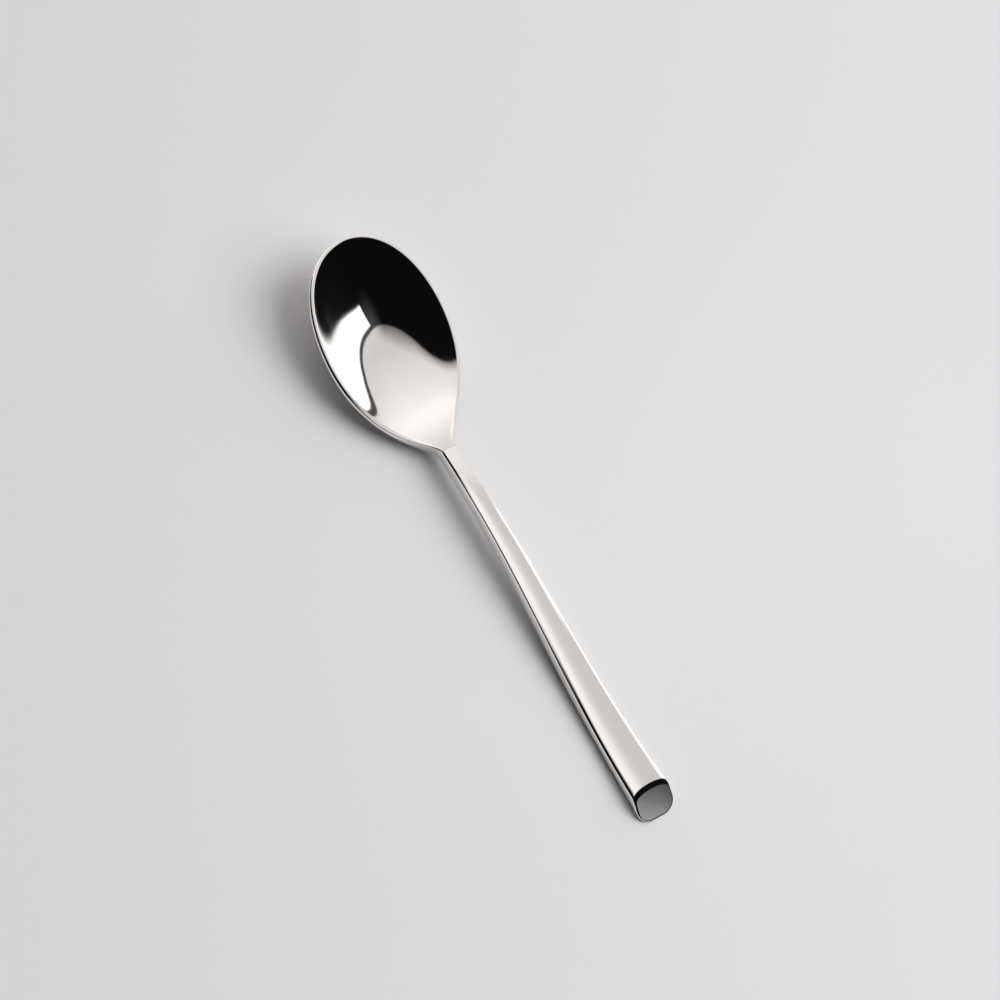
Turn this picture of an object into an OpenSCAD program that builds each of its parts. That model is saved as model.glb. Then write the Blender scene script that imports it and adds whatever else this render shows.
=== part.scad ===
// Teaspoon with an oval bowl and a slim hollow handle cut off at a slant.
// It lies on the table plane z = 0 as it does in use: the bowl touches under its heel
// and the handle along its last stretch. x runs from the tip of the bowl to the end of
// the handle, y across, z up. The origin is under the middle of the length.

/* [Whole spoon] */
// Length from the tip of the bowl to the end of the handle
spoon_length = 140; // [125:1:155]

/* [Bowl] */
// Length of the bowl, from its tip to the crease where the handle starts
bowl_length = 50; // [46:0.5:54]
// Width of the bowl over its rim
bowl_width = 32.6; // [28:0.2:36]
// Distance from the tip to the widest place of the bowl
bowl_widest_at = 22; // [20:0.5:24]
// Depth of the hollow below the plane of the rim
bowl_depth = 5.6; // [5:0.05:6.2]
// How far the rim comes down over the length of the bowl
rim_fall = 11.2; // [10:0.1:11.8]
// Width of the flat land that runs round the top of the rim
rim_land = 0.8; // [0.5:0.05:1.1]
// Height of the outer edge of the rim
rim_edge = 1; // [0.8:0.05:1.3]
// Thickness of the metal at the bottom of the bowl
bowl_wall = 2; // [1.6:0.05:2.3]
// Radius that rounds the two corners of the rim's edge
rim_round = 0.2; // [0.1:0.02:0.3]
// Depth polished away flat where the bowl touches the table
bowl_sole = 0.1; // [0.05:0.01:0.2]

/* [Neck] */
// Width of the neck where bowl and handle meet
neck_width = 4.2; // [3.6:0.1:4.8]
// Thickness of the neck where bowl and handle meet
neck_thickness = 3.3; // [3:0.1:3.8]
// Height of the top of the neck above the table
neck_height = 6.05; // [5.6:0.05:6.6]
// Length over which the rim swings up into the neck
neck_sweep = 14; // [12:0.5:16]

/* [Handle] */
// Width of the handle at its very end
end_width = 10.4; // [9:0.1:11.5]
// Height of the top of the handle over the table at the crown of its arch
arch_height = 6.8; // [6.4:0.05:7.4]
// Distance from the crease to the crown of the arch
arch_at = 17; // [14:0.5:20]
// Clear height under the crown of the arch
arch_clear = 3.1; // [2.8:0.05:3.3]
// Height of the handle at its lowest place
waist_height = 3.2; // [3.1:0.05:3.6]
// Distance from the end of the handle back to its lowest place
waist_back = 19; // [17:0.5:24]
// Distance from the end of the handle back to where it lifts off the table
foot_length = 25; // [22:0.5:30]
// Height of the top of the handle where the slanted end face begins
end_height = 3.7; // [3.5:0.05:4.2]
// Radius of the crown across the top of the handle
crown_radius = 34; // [25:1:60]
// Length of the rounding that the handle's end has in plan
end_rounding = 3.5; // [3:0.5:5]
// Angle of the slanted end face to the table
facet_angle = 27; // [24:0.5:32]
// Thickness of the end cap, square to its face
cap_thickness = 0.8; // [0.6:0.05:1]
// Depth of the rounded edge all round the end face
facet_round = 0.35; // [0.2:0.02:0.5]
// Depth polished away flat along the underside of the handle
handle_sole = 0.04; // [0.02:0.01:0.08]
// How far the middle of the end face stands out
facet_dome = 0.1; // [0.05:0.01:0.2]

/* [Inside the handle] */
// Sheet thickness of the two handle shells
shell_wall = 0.6; // [0.5:0.02:0.7]
// Length of the tang that runs from the neck into the handle
tang_length = 24; // [18:0.5:30]
// Width of the tang
tang_width = 2; // [1.6:0.05:2.3]
// Thickness of the tang
tang_thickness = 1.3; // [1:0.05:1.5]
// Clearance between the filler and the metal round it
filler_gap = 0.05; // [0.03:0.01:0.08]

/* [Hidden] */

steel_colour = [0.82, 0.82, 0.83];
shell_colour = [0.74, 0.75, 0.77];
filler_colour = [0.72, 0.66, 0.55];
cap_colour = [0.55, 0.56, 0.58];

// Counts of points round and along each swept skin
side_steps = 22;
neck_steps = 4;
bowl_rings = 13;
section_steps = 20;
arch_steps = 26;
foot_steps = 8;
tang_steps = 6;
settle_steps = 8;
dome_steps = 4;
halving_steps = 18;

// Places along the length, counted from the tip
half_length = spoon_length / 2;
crease = bowl_length;
crown = crease + arch_at;
waist = spoon_length - waist_back;
foot = spoon_length - foot_length;
bowl_centre = bowl_widest_at + rim_land;
sweep_start = crease - neck_sweep;
facet_start = spoon_length - (end_height - facet_round) / tan(facet_angle);
rounding_start = spoon_length - end_rounding;

// Shape shares of the rim's outline, as parts of the stretch that each one shapes
tip_full_share = 0.59;
tip_flat_share = 0.58;
side_flat_share = 0.66;
shoulder_share = 0.135;

// How far past the end the plan rounding would close, as a part of its length
rounding_reach_share = 1.2;

// How fast the hollow's wall falls away from the rim; at 1 its section is a plain parabola
hollow_ease_share = 1.3;

// Exponents of the hollow's fading, the sections and the swing of the neck
fade_power = 1.6;
oval_power = 4;
sweep_power = 3;
thicken_power = 2;
flare_power = 2;
rounding_power = 3;
top_power = 5;
bottom_power = 3.2;
side_power = 4;
widen_power = 1.25;

// Land that is left between the hollow and the crease
crease_land = rim_land / 2;

// Length over which the plan rounding would close the handle
closing_length = end_rounding * rounding_reach_share;

// Distances along the handle that give a depth square to the slanted end face
cap_run = cap_thickness / sin(facet_angle);
round_run = facet_round / sin(facet_angle);
dome_run = facet_dome / sin(facet_angle);

// How far the tang's root reaches back into the neck
tang_root = rim_land;

function blend(a, b, share) = a + (b - a) * share;

// Point of a curve drawn by two ends with two handles between them
function curve(h, t) =
    h[0] * pow(1 - t, 3) + h[1] * 3 * t * pow(1 - t, 2) + h[2] * 3 * t * t * (1 - t) + h[3] * pow(t, 3);

// Where along a curve its x reaches a value, found by halving
function place_on(h, x, low = 0, high = 1, left = halving_steps) =
    let (t = (low + high) / 2)
    left == 0 ? t : curve(h, t).x < x ? place_on(h, x, t, high, left - 1)
    : place_on(h, x, low, t, left - 1);

// Height on a smooth ramp from a to b, level at both ends
function ramp(a, b, share) = blend(a, b, share * share * (3 - 2 * share));

function within(low, value, high) = min(max(value, low), high);

// How far a place lies along the swing of the neck, from 0 to 1
function sweep_share(s) = max(s - sweep_start, 0) / neck_sweep;

// The two curves of one side of the outline, drawn in by inset: from the tip to the widest
// place, and on round the shoulder to the neck
function front_side(inset) =
    let (wide = bowl_width / 2 - inset, run = bowl_widest_at - inset)
    [[inset, 0], [inset, wide * tip_full_share],
     [bowl_widest_at - run * tip_flat_share, wide], [bowl_widest_at, wide]];

function rear_side(inset, neck_end) =
    let (wide = bowl_width / 2 - inset,
         narrow = neck_width / 2 - inset,
         run = neck_end - bowl_widest_at)
    [[bowl_widest_at, wide], [bowl_widest_at + run * side_flat_share, wide],
     [neck_end - run * shoulder_share, narrow], [neck_end, narrow]];

// The whole outline once round, closed straight across the neck
function outline(inset, neck_end) =
    let (front = front_side(inset),
         rear = rear_side(inset, neck_end),
         side = concat([for (i = [0 : side_steps - 1]) curve(front, i / side_steps)],
                       [for (i = [0 : side_steps]) curve(rear, i / side_steps)],
                       [for (i = [1 : neck_steps - 1])
                           [neck_end, (neck_width / 2 - inset) * (1 - i / neck_steps)]]),
         n = len(side))
    concat(side, [[neck_end, 0]], [for (i = [n - 1 : -1 : 1]) [side[i].x, -side[i].y]]);

function outline_width(x, inset, neck_end) =
    let (side = x < bowl_widest_at ? front_side(inset) : rear_side(inset, neck_end))
    curve(side, place_on(side, x)).y;

// How far a point of an outline lies inside or outside an oval round the middle of the bowl
function oval_share(x, y) = 1 / norm([x / (bowl_length / 2 - rim_land), y / (bowl_width / 2)]);

// An outline drawn in towards the middle of the bowl by a share, and rounded to an oval there
function drawn_in(points, share) =
    [for (p = points)
        let (x = p.x - bowl_centre,
             pull = share * blend(oval_share(x, p.y), 1, pow(share, oval_power)))
        [bowl_centre + x * pull, p.y * pull]];

// Share of the full depth that is gone at a share of the way from the middle to the edge
function lost_depth(share) =
    hollow_ease_share * pow(share, 2) + (1 - hollow_ease_share) * pow(share, 4);

// Share of the full depth along the middle of the bowl, which fades out gently at the neck
function sunk_along(x, inset, neck_end) =
    x < bowl_centre ? 1 - lost_depth((bowl_centre - x) / (bowl_centre - inset))
    : pow(max(1 - lost_depth((x - bowl_centre) / (neck_end - bowl_centre)), 0), fade_power);

// Share of the full depth at any place inside an outline
function sunk(x, y, inset, neck_end) =
    let (wide = outline_width(x, inset, neck_end))
    abs(y) < wide && x > inset && x < neck_end
        ? sunk_along(x, inset, neck_end) * (1 - lost_depth(abs(y) / wide))
        : 0;

// Depth of the underside below the rim's lower corner
belly = bowl_depth + bowl_wall - rim_edge;

// Height of the rim at the tip, which sets the lowest place of the underside on the table
tip_height = rim_edge - bowl_sole
    + max([for (i = [0 : side_steps])
        let (x = blend(bowl_centre, crease, i / side_steps))
        belly * sunk_along(x, rim_round, crease) + rim_fall * x / bowl_length]);
rise_height = neck_height - (tip_height - rim_fall);

// Height of the rim at a place along the bowl
function rim_height(s) =
    tip_height - rim_fall * s / bowl_length + rise_height * pow(sweep_share(s), sweep_power);

// Thickness of the rim's edge, which grows into the neck
function edge_height(s) = blend(rim_edge, neck_thickness, pow(sweep_share(s), thicken_power));

function hollow_ring(share) =
    let (neck_end = crease - crease_land)
    [for (p = drawn_in(outline(rim_land, neck_end), share))
        [p.x - half_length, p.y,
         rim_height(p.x) - bowl_depth * sunk(p.x, p.y, rim_land, neck_end)]];

function rim_ring(inset, drop_share, drop) =
    [for (p = outline(inset, crease))
        [p.x - half_length, p.y, rim_height(p.x) - edge_height(p.x) * drop_share - drop]];

function under_ring(share) =
    [for (p = drawn_in(outline(rim_round, crease), share))
        [p.x - half_length, p.y,
         max(rim_height(p.x) - edge_height(p.x) - belly * sunk(p.x, p.y, rim_round, crease), 0)]];

// A closed skin through a row of rings with as many points each. Each end is closed by a
// strip from the first half of its ring to the second, which suits a round and a bent ring.
module skin(rings) {
    n = len(rings[0]);
    last = (len(rings) - 1) * n;
    polyhedron(
        points = [for (r = rings) each r],
        faces = concat(
            [for (j = [0 : n : last - n], i = [0 : n - 1])
                let (a = j + i, b = j + (i + 1) % n)
                each triangles(a, a + n, b + n, b)],
            [for (i = [0 : n / 2 - 2])
                let (a = i, b = i + 1, c = n - 2 - i, d = n - 1 - i)
                each concat(triangles(a, b, c, d), triangles(last + d, last + c, last + b, last + a))]),
        convexity = 8);
}

// The two triangles of a four-cornered face
function triangles(a, b, c, d) = [[a, b, c], [a, c, d]];

// Heights of the handle's top and underside, and its half width, at a place along it
function top_height(s) =
    s < crown ? blend(neck_height, arch_height, sin(within(0, (s - crease) / arch_at, 1) * 90))
    : s < waist ? ramp(arch_height, waist_height, (s - crown) / (waist - crown))
    : blend(waist_height, end_height, pow((s - waist) / (facet_start - waist), flare_power));

function under_height(s) =
    s < crown ? blend(neck_height - neck_thickness, arch_clear, sin((s - crease) / arch_at * 90))
    : ramp(arch_clear, 0, within(0, (s - crown) / (foot - crown), 1));

function half_width(s) =
    let (rounding = within(0, (s - rounding_start) / closing_length, 1))
    blend(neck_width, end_width,
          pow(within(0, (s - crease) / (spoon_length - crease), 1), widen_power)) / 2
    * pow(1 - pow(rounding, rounding_power), 1 / rounding_power);

function signed_power(value, power) = sign(value) * pow(abs(value), 2 / power);

// Point of the handle's section at an angle, drawn in by inset
function section_point(s, angle, inset) =
    let (high = top_height(s),
         low = under_height(s),
         seam = (high + low) / 2,
         across = half_width(s) - inset,
         up = (high - low) / 2 - inset,
         down = up + handle_sole,
         y = across * signed_power(cos(angle), side_power),
         crown = across * across / (2 * crown_radius))
    [s - half_length, y,
     sin(angle) > 0 ? seam + (up - crown) * signed_power(sin(angle), top_power)
                      + crown * (1 - pow(y / across, 2))
     : max(seam + down * signed_power(sin(angle), bottom_power), seam - up)];

// Place along the length where a line of the section meets the slanted plane, run behind the end
function settled(angle, inset, run, s, left) =
    left == 0 ? s
    : settled(angle, inset, run,
              spoon_length - run
              - (section_point(s, angle, inset).z - facet_round) / tan(facet_angle), left - 1);

function slant_point(angle, inset, run) =
    section_point(settled(angle, inset, run, waist, settle_steps), angle, inset);

// Rings along the handle: upright up to the foot, then turning into the slant of the end
function handle_ring(j, angles, inset, run) =
    [for (angle = angles)
        j <= arch_steps ? section_point(blend(crease, foot, j / arch_steps), angle, inset)
        : section_point(blend(foot, slant_point(angle, inset, run).x + half_length,
                              (j - arch_steps) / foot_steps), angle, inset)];

function arc(from, to) = [for (i = [0 : section_steps]) blend(from, to, i / section_steps)];

// Angles once round a section
round_angles = [for (i = [0 : 2 * section_steps - 1]) i * 180 / section_steps];

// Half of the handle's skin, a pressed sheet that is open at its two seam edges
module shell(from, to) {
    skin([for (j = [0 : arch_steps + foot_steps])
        concat(handle_ring(j, arc(from, to), 0, cap_run),
               handle_ring(j, arc(to, from), shell_wall, cap_run))]);
}

module bowl() {
    color(steel_colour)
        union() {
            skin(concat(
                [for (i = [1 : bowl_rings]) hollow_ring(i / bowl_rings)],
                [rim_ring(rim_round, 0, 0), rim_ring(0, 0, rim_round),
                 rim_ring(0, 1, -rim_round), rim_ring(rim_round, 1, 0)],
                [for (i = [1 : bowl_rings - 1]) under_ring(1 - i / bowl_rings)]));
            tang();
        }
}

function tang_ring(s, inset) =
    let (seam = (top_height(s) + under_height(s)) / 2)
    [for (angle = round_angles)
        [s - half_length,
         (tang_width / 2 - inset) * signed_power(cos(angle), side_power),
         seam + (tang_thickness / 2 - inset) * signed_power(sin(angle), side_power)]];

module tang() {
    skin([for (j = [0 : tang_steps])
        tang_ring(blend(crease - tang_root, crease + tang_length, j / tang_steps), 0)]);
}

module handle_top_shell() {
    color(shell_colour) shell(0, 180);
}

module handle_bottom_shell() {
    color(shell_colour) shell(180, 360);
}

// Resin that fills the handle and holds the tang in a pocket
module handle_filler() {
    inset = shell_wall + filler_gap;
    color(filler_colour)
        skin(concat(
            [for (j = [tang_steps : -1 : 0])
                tang_ring(blend(crease, crease + tang_length + filler_gap, j / tang_steps),
                          -filler_gap)],
            [for (j = [0 : arch_steps + foot_steps])
                handle_ring(j, round_angles, inset, cap_run + filler_gap)]));
}

function cap_ring(inset, run) =
    [for (angle = round_angles) slant_point(angle, inset, run)];

// The end face's outline drawn in towards its middle, where the face stands out furthest
function face_ring(share) =
    let (rim = cap_ring(facet_round, 0),
         centre = (slant_point(90, facet_round, 0) + slant_point(270, facet_round, 0)) / 2)
    [for (p = rim) blend(centre, p, share) + [dome_run * (1 - share * share), 0, 0]];

// Plate that closes the handle, with a rounded edge and a slightly domed face
module end_cap() {
    color(cap_colour)
        skin(concat([cap_ring(0, cap_run), cap_ring(0, round_run)],
                    [for (i = [dome_steps : -1 : 1]) face_ring(i / dome_steps)]));
}

bowl();
handle_top_shell();
handle_bottom_shell();
handle_filler();
end_cap();
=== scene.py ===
# %% [markdown]
# # A mirror-polished teaspoon
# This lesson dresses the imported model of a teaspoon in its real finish. The model already
# holds the pieces at their size and place: a bowl with its neck and tang, the two halves of a
# slim hollow handle, the filler inside it, and a slanted end cap. Its faces are flat facets,
# which a mirror shows up at once, so each polished piece is modelled again as a smooth skin
# that follows the same rules of shape and stays inside the same space.

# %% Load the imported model
import math

import bpy
import numpy as np
from mathutils import Matrix, Vector


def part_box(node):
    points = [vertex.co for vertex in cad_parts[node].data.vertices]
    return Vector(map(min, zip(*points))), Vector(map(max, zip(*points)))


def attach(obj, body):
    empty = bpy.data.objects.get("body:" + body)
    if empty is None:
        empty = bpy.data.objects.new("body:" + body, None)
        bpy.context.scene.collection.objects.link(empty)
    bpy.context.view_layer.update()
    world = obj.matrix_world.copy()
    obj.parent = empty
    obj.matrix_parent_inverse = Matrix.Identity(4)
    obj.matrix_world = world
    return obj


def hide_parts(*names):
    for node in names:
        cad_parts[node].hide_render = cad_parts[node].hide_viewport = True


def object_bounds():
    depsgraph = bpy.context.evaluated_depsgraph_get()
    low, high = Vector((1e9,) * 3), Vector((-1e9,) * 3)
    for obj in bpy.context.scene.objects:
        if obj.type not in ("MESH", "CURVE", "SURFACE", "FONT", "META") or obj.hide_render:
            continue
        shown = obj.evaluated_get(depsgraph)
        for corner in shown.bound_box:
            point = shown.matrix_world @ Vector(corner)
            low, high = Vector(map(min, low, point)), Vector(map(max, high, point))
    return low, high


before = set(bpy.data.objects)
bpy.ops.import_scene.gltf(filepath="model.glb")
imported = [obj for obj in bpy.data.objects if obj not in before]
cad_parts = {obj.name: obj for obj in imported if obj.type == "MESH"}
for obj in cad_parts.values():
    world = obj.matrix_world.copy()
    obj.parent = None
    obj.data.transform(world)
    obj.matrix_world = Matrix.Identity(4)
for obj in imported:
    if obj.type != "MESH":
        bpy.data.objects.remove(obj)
bpy.ops.object.select_all(action="DESELECT")
CAD_LOW, CAD_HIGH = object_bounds()
print("nodes:", sorted(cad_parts))
print("box in mm:", [round(v * 1000, 1) for v in CAD_HIGH - CAD_LOW])

# %% [markdown]
# ## The spoon's sizes
# The frame gives the length, the width and where the handle begins. The other sizes are the
# ones that shape a spoon between those places: how deep the hollow is, how the rim falls
# towards the handle, and how high the handle arches. Distances along the spoon are counted
# from the tip of the bowl, as a maker would measure them.

# %% Sizes, in metres
MM = 0.001
SPOON_LENGTH = CAD_HIGH.x - CAD_LOW.x
HALF_LENGTH = SPOON_LENGTH / 2
BOWL_WIDTH = CAD_HIGH.y - CAD_LOW.y
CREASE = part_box("handle_top_shell")[0].x + HALF_LENGTH
TANG_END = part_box("bowl")[1].x + HALF_LENGTH

WIDEST_AT = 22 * MM
BOWL_DEPTH = 5.6 * MM
RIM_FALL = 11.2 * MM
RIM_LAND = 0.8 * MM
RIM_EDGE = 1.0 * MM
BOWL_WALL = 2.0 * MM
RIM_ROUND = 0.2 * MM
RIM_SOFT = 0.6 * MM
TIP_HEIGHT = CAD_HIGH.z + RIM_FALL * RIM_ROUND / CREASE
LIP_ROUND = 0.12 * MM

NECK_WIDTH = 4.2 * MM
NECK_THICKNESS = 3.3 * MM
NECK_HEIGHT = 6.05 * MM
NECK_SWEEP = 14 * MM

END_WIDTH = 10.4 * MM
ARCH_HEIGHT = 6.8 * MM
ARCH_AT = 17 * MM
ARCH_CLEAR = 3.1 * MM
WAIST_HEIGHT = 3.2 * MM
WAIST_BACK = 19 * MM
FOOT_LENGTH = 25 * MM
END_HEIGHT = 3.7 * MM
CROWN_RADIUS = 34 * MM
END_ROUNDING = 3.5 * MM
FACET_ANGLE = math.radians(27)
CAP_THICKNESS = 0.8 * MM
FACET_ROUND = 0.35 * MM
FACET_DOME = 0.1 * MM
HANDLE_SOLE = 0.04 * MM
SHELL_WALL = 0.6 * MM
TANG_WIDTH = 2 * MM
TANG_THICKNESS = 1.3 * MM

# Shape shares and exponents, which have no unit
TIP_FULL, TIP_FLAT, SIDE_FLAT, SHOULDER = 0.59, 0.58, 0.66, 0.135
HOLLOW_EASE, BELLY_EASE, FADE_POWER, OVAL_POWER = 1.24, 1.3, 1.6, 4
SWEEP_POWER, THICKEN_POWER, WIDEN_POWER, FLARE_POWER = 3, 2, 1.25, 2
TOP_POWER, BOTTOM_POWER, SIDE_POWER = 5, 3.2, 4
ROUNDING_POWER, ROUNDING_REACH = 3, 1.2

BOWL_CENTRE = WIDEST_AT + RIM_LAND
HOLLOW_INSET = RIM_LAND + LIP_ROUND
SWEEP_START = CREASE - NECK_SWEEP
CROWN = CREASE + ARCH_AT
WAIST = SPOON_LENGTH - WAIST_BACK
FOOT = SPOON_LENGTH - FOOT_LENGTH
FACET_SLOPE = 1 / math.tan(FACET_ANGLE)
FACET_START = SPOON_LENGTH - (END_HEIGHT - FACET_ROUND) * FACET_SLOPE
print("crease at", round(CREASE / MM, 1), "mm, tang ends at", round(TANG_END / MM, 1), "mm")

# %% [markdown]
# ## The outline of the bowl
# Seen from above, one side of the bowl is two smooth curves: from the tip to the widest place,
# and on round a narrow shoulder to the neck. A curve with two handles draws each, and drawing
# both in by a little gives the edge of the hollow inside the rim's flat land.

# %% Outline of the rim
FRONT_STEPS, REAR_STEPS, NECK_STEPS = 72, 96, 10
WIDTH_SAMPLES = 6001


def blend(a, b, share):
    return a + (b - a) * share


def curve(points, shares):
    """Places on a curve that has two ends and two handles, at shares of the way along it."""
    start, first_handle, second_handle, end = np.asarray(points, float)
    done = np.asarray(shares, float)[:, None]
    left = 1 - done
    return (start * left**3 + first_handle * 3 * done * left**2
            + second_handle * 3 * done * done * left + end * done**3)


def side_curves(inset, neck_end):
    """The two curves of one side: from the tip to the widest place, and from there to the neck."""
    wide, narrow = BOWL_WIDTH / 2 - inset, NECK_WIDTH / 2 - inset
    front, rear = WIDEST_AT - inset, neck_end - WIDEST_AT
    widest = (WIDEST_AT, wide)
    return ([(inset, 0), (inset, wide * TIP_FULL), (WIDEST_AT - front * TIP_FLAT, wide), widest],
            [widest, (WIDEST_AT + rear * SIDE_FLAT, wide),
             (neck_end - rear * SHOULDER, narrow), (neck_end, narrow)])


def outline(inset, neck_end):
    """Points once round the rim, drawn in by inset and closed straight across the neck."""
    front, rear = side_curves(inset, neck_end)
    across = (NECK_WIDTH / 2 - inset) * (1 - np.arange(1, NECK_STEPS + 1) / NECK_STEPS)
    side = np.concatenate([curve(front, np.linspace(0, 1, FRONT_STEPS, endpoint=False)),
                           curve(rear, np.linspace(0, 1, REAR_STEPS + 1)),
                           np.column_stack([np.full(NECK_STEPS, neck_end), across])])
    return np.concatenate([side, side[-2:0:-1] * (1, -1)])


def outline_width(x, inset, neck_end):
    """Half width of the outline at distances x from the tip."""
    shares = np.linspace(0, 1, WIDTH_SAMPLES)
    front, rear = (curve(points, shares) for points in side_curves(inset, neck_end))
    places = np.concatenate([front[:-1], rear])
    return np.interp(x, places[:, 0], places[:, 1])


print("points round the rim:", len(outline(0, CREASE)))

# %% [markdown]
# ## Heights of the bowl
# The rim lies in a plane that falls from the tip towards the handle and then swings up into
# the neck. The hollow is a smooth bowl below that plane: along the middle and across it, the
# depth fades towards the edge by a power, and at the neck it fades more gently, so that the
# metal runs out of the hollow and up to the crease without a kink.

# %% Rules for the bowl's heights
NEVER_ZERO = 1e-9


def sweep_share(along):
    return np.maximum(along - SWEEP_START, 0) / NECK_SWEEP


def rim_height(along):
    rise = NECK_HEIGHT - (TIP_HEIGHT - RIM_FALL)
    return TIP_HEIGHT - RIM_FALL * along / CREASE + rise * sweep_share(along) ** SWEEP_POWER


def edge_height(along):
    return blend(RIM_EDGE, NECK_THICKNESS, sweep_share(along) ** THICKEN_POWER)


def lost_depth(share, ease):
    """Share of the full depth that is gone at a share of the way from the middle to the edge."""
    return ease * share**2 + (1 - ease) * share**4


def sunk(points, inset, neck_end, ease):
    """Share of the full depth at points inside the outline that is drawn in by inset."""
    x, y = np.clip(points[:, 0], inset, neck_end), points[:, 1]
    wide = np.maximum(outline_width(x, inset, neck_end), NEVER_ZERO)
    front = 1 - lost_depth(np.maximum(BOWL_CENTRE - x, 0) / (BOWL_CENTRE - inset), ease)
    rear = 1 - lost_depth(np.maximum(x - BOWL_CENTRE, 0) / (neck_end - BOWL_CENTRE), ease)
    rear = np.maximum(rear, 0) ** FADE_POWER
    across = 1 - lost_depth(np.minimum(np.abs(y) / wide, 1), ease)
    return np.where(x < BOWL_CENTRE, front, rear) * across


def drawn_in(points, share):
    """An outline drawn in towards the middle of the bowl, and rounded to an oval there."""
    x, y = points[:, 0] - BOWL_CENTRE, points[:, 1]
    oval = 1 / np.hypot(x / (CREASE / 2 - RIM_LAND), y / (BOWL_WIDTH / 2))
    pull = share * blend(oval, 1, share**OVAL_POWER)
    return np.column_stack([BOWL_CENTRE + x * pull, y * pull])


def neck_end_of(inset):
    return CREASE - inset / 2


def hollow_depth(points):
    return BOWL_DEPTH * sunk(points, RIM_LAND, neck_end_of(RIM_LAND), HOLLOW_EASE)


print("depth in the middle:", round(hollow_depth(np.array([[BOWL_CENTRE, 0]]))[0] / MM, 2), "mm")

# %% [markdown]
# ## Rows round the bowl
# The skin of the bowl is made of rows that each go once round it. Every row knows how far it is
# drawn in from the outline and how far it lies below the plane of the rim, so the hollow, the
# rounded lip, the flat land, the two corners and the belly are one short rule each.

# %% Rules for the rows


def hollow_row(share):
    points = drawn_in(outline(HOLLOW_INSET, neck_end_of(HOLLOW_INSET)), share)
    return np.column_stack([points, rim_height(points[:, 0]) - hollow_depth(points)])


def lip_row(step):
    """The rounded edge between the hollow and the land: step runs from 1 in the hollow to 0."""
    inset = RIM_LAND + LIP_ROUND * (2 * step - 1)
    points = outline(inset, neck_end_of(inset))
    depth = hollow_depth(outline(HOLLOW_INSET, neck_end_of(HOLLOW_INSET)))
    return np.column_stack([points, rim_height(points[:, 0]) - depth * step**2])


def rim_row(inset, edge_share, drop):
    """A row on the land or the rim's edge, by a share of the edge's height and a further drop."""
    points = outline(inset, CREASE)
    height = rim_height(points[:, 0]) - edge_height(points[:, 0]) * edge_share - drop
    return np.column_stack([points, height])


def under_row(share):
    belly = BOWL_DEPTH + BOWL_WALL - RIM_EDGE
    points = drawn_in(outline(RIM_ROUND, CREASE), share)
    sink = belly * sunk(points, RIM_ROUND, CREASE, BELLY_EASE)
    height = rim_height(points[:, 0]) - edge_height(points[:, 0]) - sink
    return np.column_stack([points, np.maximum(height, 0)])


def corner(steps, top):
    """Insets, edge shares and drops that round the rim's upper or lower corner."""
    for angle in np.linspace(0, math.pi / 2, steps + 1):
        sine, cosine = math.sin(angle), math.cos(angle)
        yield ((RIM_SOFT * (1 - sine), 0, RIM_SOFT * (1 - cosine)) if top else
               (RIM_ROUND * (1 - cosine), 1, -RIM_ROUND * (1 - sine)))


print("middle of the belly:", round(under_row(0)[0, 2] / MM, 2), "mm over the table")

# %% [markdown]
# ## A sheet that takes any shape
# Every polished skin here starts as a flat grid, whose rows are then laid where the piece's
# rules put them. This gives an even flow of faces along the form, which is what keeps a mirror's
# reflections smooth. Where a row closes on itself or shrinks to a point, its doubled points are
# merged, so that the seam and the pole are closed. Across the neck a few rows lie on one line,
# and the faces between them, which have no area, are dissolved.

# %% Helpers for skins
MERGE = 0.0005 * MM


def only(piece):
    bpy.ops.object.select_all(action="DESELECT")
    piece.select_set(True)
    bpy.context.view_layer.objects.active = piece


def skin_from_rows(name, rows):
    """A skin through closed rows of points, whose x is counted from the tip and is centred here."""
    rows = np.asarray(rows, float)
    rows = np.concatenate([rows, rows[:, :1]], axis=1) - (HALF_LENGTH, 0, 0)
    down, around = rows.shape[:2]
    bpy.ops.mesh.primitive_grid_add(x_subdivisions=around - 1, y_subdivisions=down - 1, size=1)
    piece = bpy.context.active_object
    piece.name = piece.data.name = name
    piece.data.vertices.foreach_set("co", rows.reshape(-1).astype(np.float32))
    piece.data.update()
    only(piece)
    bpy.ops.object.mode_set(mode="EDIT")
    bpy.ops.mesh.select_all(action="SELECT")
    bpy.ops.mesh.remove_doubles(threshold=MERGE)
    bpy.ops.mesh.dissolve_degenerate(threshold=MERGE)
    bpy.ops.mesh.select_all(action="SELECT")
    bpy.ops.mesh.normals_make_consistent(inside=False)
    bpy.ops.object.mode_set(mode="OBJECT")
    return piece


def settle(piece, sharp_degrees):
    """Smooth shading that still breaks at real edges, and the piece's place in its mesh."""
    only(piece)
    bpy.ops.object.transform_apply(location=True, rotation=True, scale=True)
    bpy.ops.object.shade_smooth_by_angle(angle=math.radians(sharp_degrees))
    print(piece.name, len(piece.data.vertices), "points,", len(piece.data.polygons), "faces")


# %% [markdown]
# ## The bowl
# The real bowl is pressed and ground from one blank with its neck and tang. Its skin runs in
# one sweep from the bottom of the hollow, up over the rounded lip, across the land, round the
# two corners of the rim's edge and back under the belly. The rows lie close together at the
# lip and the corners, where a few tenths of a millimetre decide how the rim catches the light.
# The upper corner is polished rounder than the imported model's, which gives the rim its dark line.

# %% Lay the bowl's skin
HOLLOW_ROWS, UNDER_ROWS = 84, 60
LIP_STEPS, CORNER_STEPS, EDGE_STEPS, LAND_STEPS = 8, 9, 2, 2


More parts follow.
